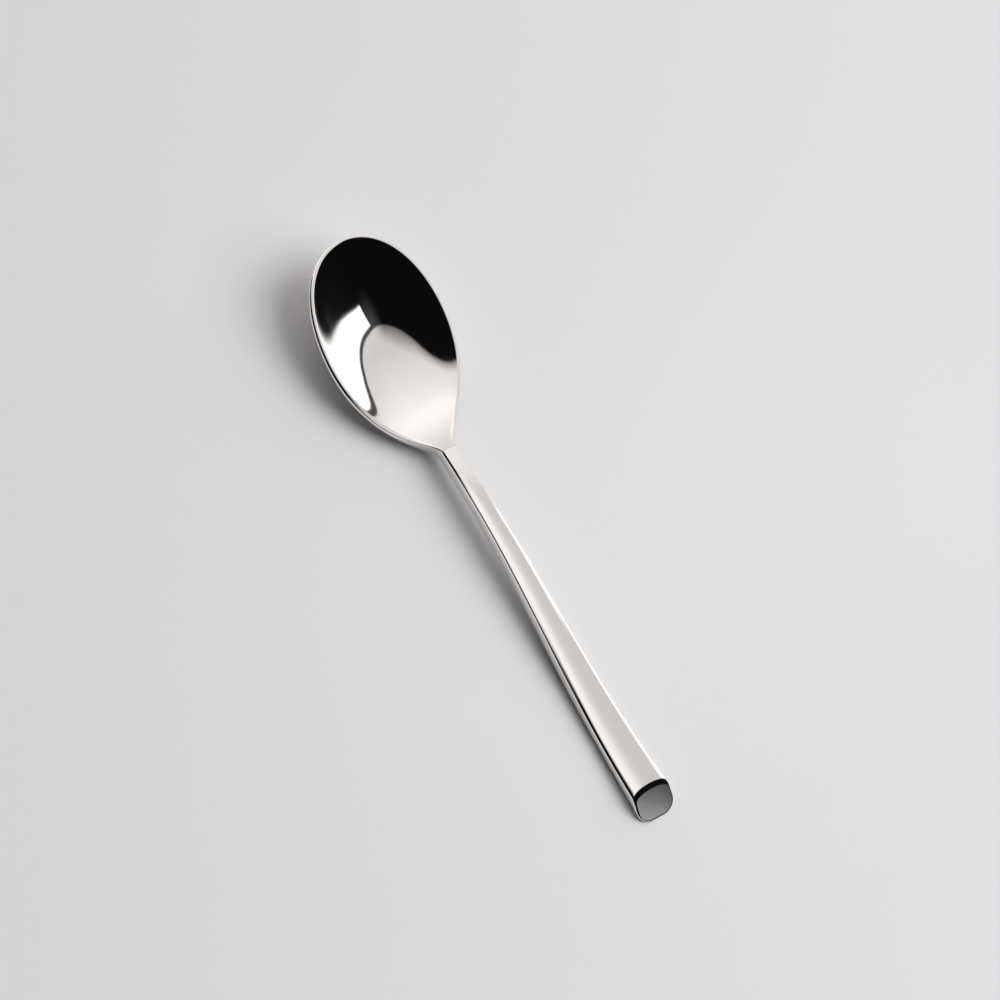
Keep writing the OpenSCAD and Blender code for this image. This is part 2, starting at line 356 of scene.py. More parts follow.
def bowl_rows():
    rows = [hollow_row(share) for share in np.linspace(0, 1, HOLLOW_ROWS)]
    rows += [lip_row(step) for step in np.linspace(1, 0, LIP_STEPS + 1)[1:]]
    for step in range(1, LAND_STEPS):
        rows.append(rim_row(blend(RIM_LAND - LIP_ROUND, RIM_SOFT, step / LAND_STEPS), 0, 0))
    rows += [rim_row(*place) for place in corner(CORNER_STEPS, top=True)]
    for step in range(1, EDGE_STEPS):
        rows.append(blend(rim_row(0, 0, RIM_SOFT), rim_row(0, 1, -RIM_ROUND), step / EDGE_STEPS))
    rows += [rim_row(*place) for place in corner(CORNER_STEPS, top=False)]
    rows += [under_row(share) for share in np.linspace(1, 0, UNDER_ROWS)[1:]]
    return rows


bowl = skin_from_rows("bowl_polished", bowl_rows())

# %% [markdown]
# ## The tang
# The flat end of the neck carries the tang, the slim bar that is bedded in the handle. It is
# made as a smith would draw it: the end face is inset, brought to the tang's size round its own
# middle, and extruded to the tang's length.

# %% Draw out the tang and finish the bowl
SQUARE_ON = 0.999
TANG_INSET = 0.3 * MM
BREAK_ANGLE = 35


def draw_out_tang(piece):
    crease_x = CREASE - HALF_LENGTH
    only(piece)
    bpy.ops.object.mode_set(mode="EDIT")
    bpy.ops.mesh.select_mode(type="FACE")
    bpy.ops.mesh.select_all(action="DESELECT")
    bpy.ops.object.mode_set(mode="OBJECT")
    for face in piece.data.polygons:
        face.select = face.normal.x > SQUARE_ON and abs(face.center.x - crease_x) < MERGE
    bpy.ops.object.mode_set(mode="EDIT")
    bpy.ops.mesh.inset(thickness=TANG_INSET)
    bpy.ops.object.mode_set(mode="OBJECT")
    size = np.ptp(np.array([v.co for v in piece.data.vertices if v.select]), axis=0)
    bpy.ops.object.mode_set(mode="EDIT")
    neck_middle = Vector((crease_x, 0, NECK_HEIGHT - NECK_THICKNESS / 2))
    bpy.ops.transform.resize(value=(1, TANG_WIDTH / size[1], TANG_THICKNESS / size[2]),
                             center_override=neck_middle)
    bpy.ops.mesh.extrude_region_move(TRANSFORM_OT_translate={"value": (TANG_END - CREASE, 0, 0)})
    bpy.ops.object.mode_set(mode="OBJECT")


draw_out_tang(bowl)
settle(bowl, BREAK_ANGLE)
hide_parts("bowl")
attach(bowl, "root")

# %% [markdown]
# ## The handle's section
# The handle starts as the neck's small block and widens towards its end. Its top is gently
# crowned and turns into the sides over a tight corner, and its underside is rounder, with a
# narrow flat where it lies on the table. A squared oval gives that section at every place, and
# the points round it are spread so that the tight corners get most of them.

# %% Heights and widths of the handle


def ramp(a, b, share):
    return blend(a, b, share * share * (3 - 2 * share))


def arch_share(along):
    return np.sin(np.clip((along - CREASE) / ARCH_AT, 0, 1) * math.pi / 2)


def top_height(along):
    rising = blend(NECK_HEIGHT, ARCH_HEIGHT, arch_share(along))
    falling = ramp(ARCH_HEIGHT, WAIST_HEIGHT, np.clip((along - CROWN) / (WAIST - CROWN), 0, 1))
    flared = (np.maximum(along - WAIST, 0) / (FACET_START - WAIST)) ** FLARE_POWER
    flare = blend(WAIST_HEIGHT, END_HEIGHT, flared)
    return np.where(along < CROWN, rising, np.where(along < WAIST, falling, flare))


def under_height(along):
    rising = blend(NECK_HEIGHT - NECK_THICKNESS, ARCH_CLEAR, arch_share(along))
    falling = ramp(ARCH_CLEAR, 0, np.clip((along - CROWN) / (FOOT - CROWN), 0, 1))
    return np.where(along < CROWN, rising, falling)


def half_width(along):
    widening = np.clip((along - CREASE) / (SPOON_LENGTH - CREASE), 0, 1) ** WIDEN_POWER
    past_rounding = (along - SPOON_LENGTH + END_ROUNDING) / (END_ROUNDING * ROUNDING_REACH)
    rounded = (1 - np.clip(past_rounding, 0, 1) ** ROUNDING_POWER) ** (1 / ROUNDING_POWER)
    return blend(NECK_WIDTH, END_WIDTH, widening) / 2 * rounded


print("handle is", round(2 * half_width(WAIST) / MM, 1), "mm wide at its waist and",
      round(float(top_height(CROWN)) / MM, 1), "mm high at its crown")

# %% Points round the handle
SETTLE_ROUNDS = 12
TURN_SAMPLES = 4001


def signed_power(value, power):
    return np.sign(value) * np.abs(value) ** (2 / power)


def section(along, angle, inset):
    """Points of the handle at places along it and angles round it, drawn in by inset."""
    high, low, across = top_height(along), under_height(along), half_width(along) - inset
    seam, up = (high + low) / 2, (high - low) / 2 - inset
    y = across * signed_power(np.cos(angle), SIDE_POWER)
    crown = across**2 / (2 * CROWN_RADIUS)
    above = seam + (up - crown) * signed_power(np.sin(angle), TOP_POWER)
    above = above + crown * (1 - (y / across) ** 2)
    below = seam + (up + HANDLE_SOLE) * signed_power(np.sin(angle), BOTTOM_POWER)
    z = np.where(np.sin(angle) > 0, above, np.maximum(below, seam - up))
    return np.stack([along + 0 * z, y, z], axis=-1)


def settled(angle, inset, run):
    """Where a line along the handle meets the slanted plane that lies run behind the end."""
    along = np.full_like(angle, WAIST)
    for _ in range(SETTLE_ROUNDS):
        height = section(along, angle, inset)[:, 2]
        along = SPOON_LENGTH - run - (height - FACET_ROUND) * FACET_SLOPE
    return along


def spread_angles(start, stop, count):
    """Angles from start to stop that lie closest where the section turns most."""
    fine = np.linspace(start, stop, TURN_SAMPLES)
    steps = np.diff(section(np.full_like(fine, WAIST), fine, 0)[:, 1:], axis=0)
    length = np.hypot(*steps.T)
    turn = np.abs(np.diff(np.unwrap(np.arctan2(steps[:, 1], steps[:, 0])), append=0))
    turn[-1] = 0
    weight = np.concatenate([[0], np.cumsum(length / length.sum() + turn / turn.sum())])
    return np.interp(np.linspace(0, weight[-1], count), weight, fine)


print("top of the handle ends", round((SPOON_LENGTH - FACET_START) / MM, 1), "mm before its end")

# %% [markdown]
# ## The two halves of the handle
# A hollow handle is pressed as two half shells that are soldered edge to edge and polished
# until the seam is gone. A Solidify modifier would fold over itself inside the tight corners,
# so each half is laid with both of its faces: a row runs out along the outside, over the
# slanted end and back along the inside, and the rows step round the half from seam to seam.
# A last row at each seam lies halfway through the sheet, where its two sides merge and close.

# %% Model the handle shells
ROUND_STEPS, ARCH_ROWS, FOOT_ROWS = 96, 150, 60
SHELL_BREAK_ANGLE = 20
CAP_RUN = CAP_THICKNESS / math.sin(FACET_ANGLE)


def line_along(angle, inset):
    """Points along the handle at one angle round it, from the crease to the slanted end."""
    end = settled(np.array([angle]), inset, CAP_RUN)[0]
    along = np.concatenate([np.linspace(CREASE, FOOT, ARCH_ROWS),
                            np.linspace(FOOT, end, FOOT_ROWS + 1)[1:]])
    return section(along, np.full_like(along, angle), inset)


def shell_rows(start, stop):
    rows = [np.concatenate([line_along(angle, 0), line_along(angle, SHELL_WALL)[::-1]])
            for angle in spread_angles(start, stop, ROUND_STEPS)]
    first, last = ((row + row[::-1]) / 2 for row in (rows[0], rows[-1]))
    return [first] + rows + [last]


def model_shell(name, start, stop, node):
    shell = skin_from_rows(name, shell_rows(start, stop))
    settle(shell, SHELL_BREAK_ANGLE)
    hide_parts(node)
    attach(shell, "root")
    return shell


top_shell = model_shell("handle_top_polished", 0, math.pi, "handle_top_shell")
bottom_shell = model_shell("handle_bottom_polished", math.pi, 2 * math.pi, "handle_bottom_shell")

# %% [markdown]
# ## The end cap
# A slanted cap closes the handle. Its edge is rounded a little where the top meets the slant at
# a wide angle, and more at the thin lower edge, which polishing wears down most. The rings
# start on the back of the cap, run out to the shells, turn over the round and close in the
# middle of the face, which bulges by a tenth of a millimetre as any hand-polished flat does.

# %% Model the end cap
CAP_ROUND_STEPS, FACE_ROWS, BACK_ROWS = 12, 24, 8
TOP_EDGE_ROUND, BOTTOM_EDGE_ROUND = 0.52 * MM, 0.58 * MM


def cap_ring(angles, inset, run):
    return section(settled(angles, inset, run), angles, inset)


def cap_rows():
    angles = np.concatenate([spread_angles(0, math.pi, ROUND_STEPS)[:-1],
                             spread_angles(math.pi, 2 * math.pi, ROUND_STEPS)[:-1]])
    radius = blend(TOP_EDGE_ROUND, BOTTOM_EDGE_ROUND, (1 - np.sin(angles)) / 2)
    back, face = cap_ring(angles, 0, CAP_RUN), cap_ring(angles, radius, 0)
    rows = [blend(back.mean(axis=0), back, share) for share in np.linspace(0, 1, BACK_ROWS + 1)]
    for turn in np.linspace(0, math.pi / 2, CAP_ROUND_STEPS, endpoint=False):
        run = radius * (1 - math.sin(turn)) / math.sin(FACET_ANGLE)
        rows.append(cap_ring(angles, radius * (1 - math.cos(turn)), run))
    for share in np.linspace(1, 0, FACE_ROWS + 1):
        bulge = FACET_DOME / math.sin(FACET_ANGLE) * (1 - share**2)
        rows.append(blend(face.mean(axis=0), face, share) + (bulge, 0, 0))
    return rows


end_cap = skin_from_rows("end_cap_polished", cap_rows())
settle(end_cap, BREAK_ANGLE)
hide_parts("end_cap")
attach(end_cap, "root")

# %% [markdown]
# ## The camera
# The spoon is seen from high up at its side, with a long lens, so that its two ends are almost
# equally far away. The camera is placed by its turn round the spoon and its rise above the
# table, and then rolled, which lays the spoon slantwise across the picture.

# %% Set up the camera
CAMERA_TURN, CAMERA_RISE, CAMERA_ROLL = (math.radians(v) for v in (75, 58, 58.49))
CAMERA_DISTANCE = 900 * MM
CAMERA_LENS, SENSOR_WIDTH = 152.3, 36
CLIP_START, CLIP_END = 0.01, 100
SPOON_MIDDLE = Vector((0, 0, 5 * MM))
AIM_RIGHT, AIM_UP = 0.73 * MM, 6.19 * MM


def camera_rotation(away):
    """How the camera is turned to look back along away, rolled and aimed off the middle."""
    level = (Vector((1, 0, 0)) - away.x * away).normalized()
    steep = away.cross(level)
    right = level * math.cos(CAMERA_ROLL) + steep * math.sin(CAMERA_ROLL)
    up = steep * math.cos(CAMERA_ROLL) - level * math.sin(CAMERA_ROLL)
    ahead = (right * AIM_RIGHT + up * AIM_UP - away * CAMERA_DISTANCE).normalized()
    right = (right - right.dot(ahead) * ahead).normalized()
    return Matrix((right, right.cross(ahead), -ahead)).transposed().to_euler()


away = Vector((math.cos(CAMERA_RISE) * math.cos(CAMERA_TURN),
               -math.cos(CAMERA_RISE) * math.sin(CAMERA_TURN), math.sin(CAMERA_RISE)))
bpy.ops.object.camera_add(location=SPOON_MIDDLE + away * CAMERA_DISTANCE,
                          rotation=camera_rotation(away))
camera = bpy.context.active_object
camera.name = "studio_camera"
camera.data.lens, camera.data.sensor_width = CAMERA_LENS, SENSOR_WIDTH
camera.data.clip_start, camera.data.clip_end = CLIP_START, CLIP_END
bpy.context.scene.camera = camera
print("camera at", [round(v, 3) for v in camera.location], "m, lens", CAMERA_LENS, "mm")

# %% [markdown]
# ## Finishes
# Polished steel is a metal with hardly any roughness, so it shows its surroundings, and what
# makes it look real is what is uneven: a haze of fine wear and the thin marks of the last
# polishing cloth. Both are node groups, so that each finish places them with its own strength.

# %% Node helpers


def new_group(name, inputs, outputs):
    group = bpy.data.node_groups.new(name, "ShaderNodeTree")
    for title, kind, value in inputs:
        socket = group.interface.new_socket(title, in_out="INPUT", socket_type=kind)
        if value is not None:
            socket.default_value = value
    for title, kind in outputs:
        group.interface.new_socket(title, in_out="OUTPUT", socket_type=kind)
    return group, group.nodes.new("NodeGroupInput"), group.nodes.new("NodeGroupOutput")


def node(tree, kind, **settings):
    """A new node. A setting that starts with in_ is the value of the input of that name."""
    made = tree.nodes.new(kind)
    for key, value in settings.items():
        if key.startswith("in_"):
            made.inputs[key[3:].replace("_", " ")].default_value = value
        else:
            setattr(made, key, value)
    return made


def join(source, target):
    source.id_data.links.new(source, target)


# %% Wear haze: a mask that is uneven at the scale of a fingertip and of fine specks
PATCHES_PER_METRE, PATCH_DETAIL, PATCH_ROUGHNESS = 90.0, 3.0, 0.6
SPECKS_PER_METRE, SPECK_DETAIL = 1400.0, 2.0
NOISE_LOW, NOISE_HIGH = 0.12, 0.42
LEAST_HAZE, MOST_HAZE = 0.03, 0.09

haze_group, haze_in, haze_out = new_group(
    "wear_haze",
    [("Vector", "NodeSocketVector", None),
     ("Patches per metre", "NodeSocketFloat", PATCHES_PER_METRE),
     ("Specks per metre", "NodeSocketFloat", SPECKS_PER_METRE),
     ("Low", "NodeSocketFloat", LEAST_HAZE), ("High", "NodeSocketFloat", MOST_HAZE)],
    [("Roughness", "NodeSocketFloat")])
patches = node(haze_group, "ShaderNodeTexNoise", in_Detail=PATCH_DETAIL, in_Roughness=PATCH_ROUGHNESS)
specks = node(haze_group, "ShaderNodeTexNoise", in_Detail=SPECK_DETAIL)
both = node(haze_group, "ShaderNodeMath", operation="MULTIPLY")
spread = node(haze_group, "ShaderNodeMapRange", in_From_Min=NOISE_LOW, in_From_Max=NOISE_HIGH)
join(haze_in.outputs["Vector"], patches.inputs["Vector"])
join(haze_in.outputs["Vector"], specks.inputs["Vector"])
join(haze_in.outputs["Patches per metre"], patches.inputs["Scale"])
join(haze_in.outputs["Specks per metre"], specks.inputs["Scale"])
join(patches.outputs["Fac"], both.inputs[0])
join(specks.outputs["Fac"], both.inputs[1])
join(both.outputs[0], spread.inputs["Value"])
join(haze_in.outputs["Low"], spread.inputs["To Min"])
join(haze_in.outputs["High"], spread.inputs["To Max"])
join(spread.outputs["Result"], haze_out.inputs["Roughness"])
print("nodes in the haze:", len(haze_group.nodes))

# %% Polishing marks: thin lines that run along the spoon
MARK_STRETCH, MARK_FINENESS = (0.03, 1.0, 1.0), 2500.0
MARK_DETAIL, MARK_ROUGHNESS = 4.0, 0.7

marks_group, marks_in, marks_out = new_group(
    "polishing_marks",
    [("Vector", "NodeSocketVector", None), ("Fineness", "NodeSocketFloat", MARK_FINENESS)],
    [("Height", "NodeSocketFloat")])
stretch = node(marks_group, "ShaderNodeMapping", in_Scale=MARK_STRETCH)
lines = node(marks_group, "ShaderNodeTexNoise", in_Detail=MARK_DETAIL, in_Roughness=MARK_ROUGHNESS)
join(marks_in.outputs["Vector"], stretch.inputs["Vector"])
join(stretch.outputs["Vector"], lines.inputs["Vector"])
join(marks_in.outputs["Fineness"], lines.inputs["Scale"])
join(lines.outputs["Fac"], marks_out.inputs["Height"])
print("nodes in the marks:", len(marks_group.nodes))

# %% [markdown]
# ## Two steels and a resin
# The outer skins are buffed to a mirror. The face of the cap takes a steel that is a little
# darker and hazier, with coarser marks. The filler inside the handle is an off-white resin, which
# shows only if the spoon is taken apart.

# %% Steel
STEEL_TINT, STEEL_HAZE = (0.86, 0.85, 0.83, 1), (0.03, 0.07)
STEEL_MARKS, STEEL_MARK_DEPTH = 2500.0, 0.15
CAP_TINT, CAP_HAZE = (0.80, 0.79, 0.77, 1), (0.05, 0.10)
CAP_MARKS, CAP_MARK_DEPTH = 1800.0, 0.25
MARK_HEIGHT = 0.01 * MM


def new_material(name):
    """A new material with its tree of nodes and its shader, which this lesson calls surface."""
    material = bpy.data.materials.new(name)
    material.use_nodes = True
    return material, material.node_tree, material.node_tree.nodes["Principled BSDF"]


def steel(name, tint, haze_range, fineness, depth):
    material, tree, surface = new_material(name)
    surface.inputs["Base Color"].default_value = tint
    surface.inputs["Metallic"].default_value = 1.0
    place = node(tree, "ShaderNodeTexCoord")
    haze = node(tree, "ShaderNodeGroup", node_tree=haze_group,
                in_Low=haze_range[0], in_High=haze_range[1])
    marks = node(tree, "ShaderNodeGroup", node_tree=marks_group, in_Fineness=fineness)
    bump = node(tree, "ShaderNodeBump", in_Strength=depth, in_Distance=MARK_HEIGHT)
    join(place.outputs["Object"], haze.inputs["Vector"])
    join(place.outputs["Object"], marks.inputs["Vector"])
    join(haze.outputs["Roughness"], surface.inputs["Roughness"])
    join(marks.outputs["Height"], bump.inputs["Height"])
    join(bump.outputs["Normal"], surface.inputs["Normal"])
    return material


mirror_steel = steel("mirror_steel", STEEL_TINT, STEEL_HAZE, STEEL_MARKS, STEEL_MARK_DEPTH)
cap_satin = steel("cap_satin", CAP_TINT, CAP_HAZE, CAP_MARKS, CAP_MARK_DEPTH)
print("steels:", mirror_steel.name, cap_satin.name)

# %% Resin
RESIN_TINT, RESIN_DARKER, RESIN_HAZE = (0.74, 0.70, 0.60, 1), 0.8, (0.4, 0.6)
RESIN_DEPTH, CLOUDS_PER_METRE = 0.1, 300.0


def resin(name, tint):
    material, tree, surface = new_material(name)
    surface.inputs["Subsurface Weight"].default_value = RESIN_DEPTH
    place = node(tree, "ShaderNodeTexCoord")
    haze = node(tree, "ShaderNodeGroup", node_tree=haze_group,
                in_Low=RESIN_HAZE[0], in_High=RESIN_HAZE[1])
    cloud = node(tree, "ShaderNodeTexNoise", in_Scale=CLOUDS_PER_METRE)
    shade = node(tree, "ShaderNodeMix", data_type="RGBA")
    shade.inputs["A"].default_value = tint
    shade.inputs["B"].default_value = tuple(v * RESIN_DARKER for v in tint[:3]) + (1,)
    join(place.outputs["Object"], haze.inputs["Vector"])
    join(place.outputs["Object"], cloud.inputs["Vector"])
    join(cloud.outputs["Fac"], shade.inputs["Factor"])
    join(shade.outputs["Result"], surface.inputs["Base Color"])
    join(haze.outputs["Roughness"], surface.inputs["Roughness"])
    return material


filler_body = resin("filler_body", RESIN_TINT)
print("resin:", filler_body.name)

# %% Dress the pieces
FACE_ON = 0.994


def dress(piece, material):
    piece.data.materials.clear()
    piece.data.materials.append(material)


for piece in (bowl, top_shell, bottom_shell, end_cap):
    dress(piece, mirror_steel)
end_cap.data.materials.append(cap_satin)
for face in end_cap.data.polygons:
    facing = face.normal.x * math.sin(FACET_ANGLE) + face.normal.z * math.cos(FACET_ANGLE)
    face.material_index = int(facing > FACE_ON)
dress(bpy.data.objects["handle_filler"], filler_body)
print("materials:", sorted(m.name for m in bpy.data.materials))

# %% [markdown]
# ## The studio
# A mirror is only as good as what stands round it. Cutlery is photographed under one big warm
# diffuser and beside one hard white softbox, in a room that is otherwise dark, and the thin dark
# gap between the two lights draws the line that makes the hollow read as deep. The two lights
# are painted into the world by direction, so every view of the spoon shows the same studio.

# %% Helpers for sums


def is_socket(value):
    return isinstance(value, bpy.types.NodeSocket)


def calc(operation, *values):
    """A maths node in the tree of its first socket; the other values are numbers or sockets."""
    tree = next(value.id_data for value in values if is_socket(value))
    made = node(tree, "ShaderNodeMath", operation=operation)
    for socket, value in zip(made.inputs, values):
        if is_socket(value):
            join(value, socket)
        else:
            socket.default_value = value
    return made.outputs[0]


def plus(a, b):
    return calc("ADD", a, b)


def minus(a, b):
    return calc("SUBTRACT", a, b)


def times(a, b):
    return calc("MULTIPLY", a, b)


def length_of(a, b):
    """Length of a line that goes a one way and b square to it."""
    return calc("SQRT", plus(times(a, a), times(b, b)))


# %% Helpers for steps and layers of light
DARK = 0.0035
DIFFUSER_TINT, SOFTBOX_TINT = (1.0, 0.965, 0.955), (1.0, 1.0, 1.0)


def step_up(value, start, stop, kind="SMOOTHSTEP"):
    """A soft step from 0 at start to 1 at stop; stop may lie below start."""
    made = node(value.id_data, "ShaderNodeMapRange", interpolation_type=kind,
                in_From_Min=start, in_From_Max=stop)
    join(value, made.inputs["Value"])
    return made.outputs["Result"]


def ramp_up(value, start, stop):
    """An even ramp from 0 at start to 1 at stop."""
    return step_up(value, start, stop, "LINEAR")


def darkness(tree):
    """The unlit room, over which the lights are painted."""
    dark = node(tree, "ShaderNodeRGB")
    dark.outputs[0].default_value = (DARK, DARK, DARK, 1)
    return dark.outputs[0]


def paint(under, mask, tint, strength):
    """Lays a light of one tint over what is painted so far."""
    tree = under.id_data
    light = node(tree, "ShaderNodeVectorMath", operation="SCALE")
    light.inputs[0].default_value = tint
    if is_socket(strength):
        join(strength, light.inputs["Scale"])
    else:
        light.inputs["Scale"].default_value = strength
    over = node(tree, "ShaderNodeMix", data_type="RGBA")
    join(mask, over.inputs["Factor"])
    join(under, over.inputs["A"])
    join(light.outputs[0], over.inputs["B"])
    return over.outputs["Result"]


# %% [markdown]
# ## Directions in the studio
# A direction is measured as degrees away from straight up, to the right and to the back. On that
# map of the room a light is a flat shape with an edge, as it would be on a drawing of the ceiling.
# A span is a pair of such degrees: where a soft step starts and where it ends.

# %% Turn every direction into degrees
LEAST_LEVEL = 1e-4

world = bpy.data.worlds.new("studio_world")
world.use_nodes = True
bpy.context.scene.world = world
sky = world.node_tree
parts = node(sky, "ShaderNodeSeparateXYZ")
join(node(sky, "ShaderNodeTexCoord").outputs["Generated"], parts.inputs[0])
x, y, z = (parts.outputs[axis] for axis in "XYZ")
level = calc("MAXIMUM", length_of(x, y), LEAST_LEVEL)
per_level = calc("DIVIDE", calc("DEGREES", calc("ARCTAN2", level, z)), level)
to_right, to_back = times(x, per_level), times(y, per_level)
print("nodes for the directions:", len(sky.nodes))

# %% [markdown]
# ## The diffuser
# The warm diffuser is a big oval that hangs turned and a little pressed in at its back right. It
# reaches much further to the left than to the right. It is dimmest near the softbox, brightest
# towards the left, and falls off again far to the left and along its front edge.

# %% Edge of the diffuser
DIFFUSER_MIDDLE, DIFFUSER_TURN = (-13.0, 29.1), math.radians(18)
DIFFUSER_TO_RIGHT, DIFFUSER_TO_LEFT, DIFFUSER_TO_BACK = 35.2, 110.0, 46.7
DIFFUSER_SOFTNESS = 0.5
PRESS, PRESS_SPAN = 1.9, (14.0, 40.0)
PRESS_EASE, PRESS_EASE_SPAN = 0.6, (-2.0, -16.0)

cos_turn, sin_turn = math.cos(DIFFUSER_TURN), math.sin(DIFFUSER_TURN)
off_right, off_back = minus(to_right, DIFFUSER_MIDDLE[0]), minus(to_back, DIFFUSER_MIDDLE[1])
turned_right = plus(times(off_right, cos_turn), times(off_back, sin_turn))
turned_back = minus(times(off_back, cos_turn), times(off_right, sin_turn))
along = calc("MAXIMUM", calc("DIVIDE", turned_right, DIFFUSER_TO_RIGHT),
             calc("DIVIDE", turned_right, -DIFFUSER_TO_LEFT))
reach = length_of(along, calc("DIVIDE", turned_back, DIFFUSER_TO_BACK))
press_left = minus(1.0, times(step_up(to_right, *PRESS_EASE_SPAN), PRESS_EASE))
pressed = times(times(step_up(to_back, *PRESS_SPAN), press_left), PRESS)
past_edge = plus(times(minus(reach, 1.0), DIFFUSER_TO_RIGHT), pressed)
in_diffuser = step_up(past_edge, DIFFUSER_SOFTNESS, -DIFFUSER_SOFTNESS)
print("nodes up to the diffuser's edge:", len(sky.nodes))

# %% Brightness of the diffuser
DIMMEST = 0.70
SLANT_FROM, BRIGHT_SLANT, EDGE_SLANT = 40.0, 0.35, 0.65
BRIGHT_STEP, BRIGHT_SPAN = 0.30, (9.0, -26.0)
HOT_STEP, HOT_SPAN = 0.15, (-13.0, -25.0)
FAR_LOSS, FAR_SPAN = 0.36, (-27.0, -66.0)
EDGE_GAIN, EDGE_SPAN = 0.055, (7.0, 18.0)
FALL_WIDTH, FALL_WIDENING, FALL_WIDENING_SPAN = 2.5, 8.5, (-20.0, 4.0)
FALL_LOSS, FALL_SPAN = 0.80, (30.0, 10.0)

far_back = calc("MAXIMUM", minus(to_back, SLANT_FROM), 0.0)
slanted = plus(to_right, times(far_back, BRIGHT_SLANT))
brightness = plus(DIMMEST, times(ramp_up(slanted, *BRIGHT_SPAN), BRIGHT_STEP))
brightness = plus(brightness, times(step_up(to_right, *HOT_SPAN), HOT_STEP))
brightness = minus(brightness, times(step_up(to_right, *FAR_SPAN), FAR_LOSS))
at_edge = step_up(plus(to_right, times(far_back, EDGE_SLANT)), *EDGE_SPAN)
brightness = plus(brightness, times(at_edge, EDGE_GAIN))
fall_width = plus(FALL_WIDTH, times(step_up(to_back, *FALL_WIDENING_SPAN), FALL_WIDENING))
falling = times(ramp_up(calc("DIVIDE", past_edge, fall_width), -1.0, 0.0),
                step_up(to_back, *FALL_SPAN))
brightness = times(brightness, minus(1.0, times(falling, FALL_LOSS)))
print("nodes up to the diffuser's light:", len(sky.nodes))

# %% [markdown]
# ## The softbox
# The white softbox stands to the right of the diffuser and follows its edge across a dark gap. Its
# foot is cut off slantwise, and its far side leans and bows to the left towards the back. Round
# the foot and in the gap a faint glow is left, because no room is quite black near its lamps.

# %% Softbox, gap and glow
SOFTBOX_FOOT, FOOT_SLOPE, FOOT_SOFTNESS = (26.0, 30.8), 0.7, 0.6
SOFTBOX_SIDE, SIDE_LEAN, SIDE_BOW, BOW_POWER = (33.3, 36.0), 0.27, 1.6e-5, 3.5
SIDE_SOFTNESS, SIDE_BLUR, SIDE_BLUR_SPAN = 0.6, 0.6, (55.0, 85.0)
GAP_WIDTH, GAP_SOFTNESS = 2.6, 0.4
GLOW_MIDDLE, GLOW_RADIUS = (24.0, 27.0), 16.0
GAP_GLOW_SPAN, GAP_GLOW_BACK_SPAN = (5.0, 2.0), (29.0, 34.0)

foot_at = times(minus(to_right, SOFTBOX_FOOT[0]), FOOT_SLOPE)
past_foot = minus(minus(to_back, SOFTBOX_FOOT[1]), foot_at)
up_side = calc("MAXIMUM", minus(to_back, SOFTBOX_SIDE[1]), 0.0)
side_at = minus(minus(SOFTBOX_SIDE[0], times(up_side, SIDE_LEAN)),
                times(calc("POWER", up_side, BOW_POWER), SIDE_BOW))
side_softness = plus(SIDE_SOFTNESS, times(step_up(to_back, *SIDE_BLUR_SPAN), SIDE_BLUR))
before_side = step_up(calc("DIVIDE", minus(to_right, side_at), side_softness), 1.0, -1.0)
past_gap = step_up(past_edge, GAP_WIDTH - GAP_SOFTNESS, GAP_WIDTH + GAP_SOFTNESS)
in_softbox = times(step_up(past_foot, -FOOT_SOFTNESS, FOOT_SOFTNESS), times(before_side, past_gap))
from_glow = length_of(minus(to_right, GLOW_MIDDLE[0]), minus(to_back, GLOW_MIDDLE[1]))
in_gap = times(step_up(past_edge, *GAP_GLOW_SPAN), step_up(to_back, *GAP_GLOW_BACK_SPAN))
near_lights = calc("MAXIMUM", step_up(from_glow, GLOW_RADIUS, 0.0), in_gap)
print("nodes up to the softbox:", len(sky.nodes))

# %% [markdown]
# ## Put the studio together
# The lights are painted one over the other, the faintest first. What the camera sees past the
# floor is a plain pale backdrop, so that no view of the spoon has black behind it.

# %% Paint the world
GLOW, SOFTBOX_STRENGTH, BACKDROP = 0.068, 1.3, 0.7

studio = paint(darkness(sky), near_lights, SOFTBOX_TINT, GLOW)
studio = paint(studio, in_diffuser, DIFFUSER_TINT, brightness)
studio = paint(studio, in_softbox, SOFTBOX_TINT, SOFTBOX_STRENGTH)
seen_directly = node(sky, "ShaderNodeLightPath").outputs["Is Camera Ray"]
studio = paint(studio, seen_directly, (1, 1, 1), BACKDROP)
join(studio, sky.nodes["Background"].inputs["Color"])
print("world nodes:", len(sky.nodes))

# %% [markdown]
# ## A card over the handle
# Real lights stand close, so the handle sees them further to one side than the bowl does. The
# painted world has no distance and can't show that. A photographer would hang a card low over
# the handle, so that is what is done here, with a card that only reflections can see. It fades
# in above the neck, and the bowl hardly sees it.

# %% Hang the card
CARD_HEIGHT = 34 * MM
CARD_LEFT, CARD_RIGHT, CARD_FRONT, CARD_BACK = -26 * MM, 150 * MM, -34 * MM, 150 * MM

card_middle = ((CARD_LEFT + CARD_RIGHT) / 2, (CARD_FRONT + CARD_BACK) / 2, CARD_HEIGHT)
bpy.ops.mesh.primitive_plane_add(size=1, location=card_middle)
card = bpy.context.active_object
card.name = "studio_card"
card.scale = (CARD_RIGHT - CARD_LEFT, CARD_BACK - CARD_FRONT, 1)
bpy.ops.object.transform_apply(location=True, rotation=True, scale=True)
card.visible_camera = card.visible_diffuse = card.visible_shadow = False
print("card hangs", round(CARD_HEIGHT / MM), "mm over the table")

# %% [markdown]
# ## The light of the card
# The card is bright along its front and its back and grey between them, with a dark corner at its
# front right and a bright window where the softbox would be. It ends in black over the edge of
# the cap, and past that has a dim part that the slanted cap mirrors. Its spans are millimetres on
# the card, to the right and to the back.

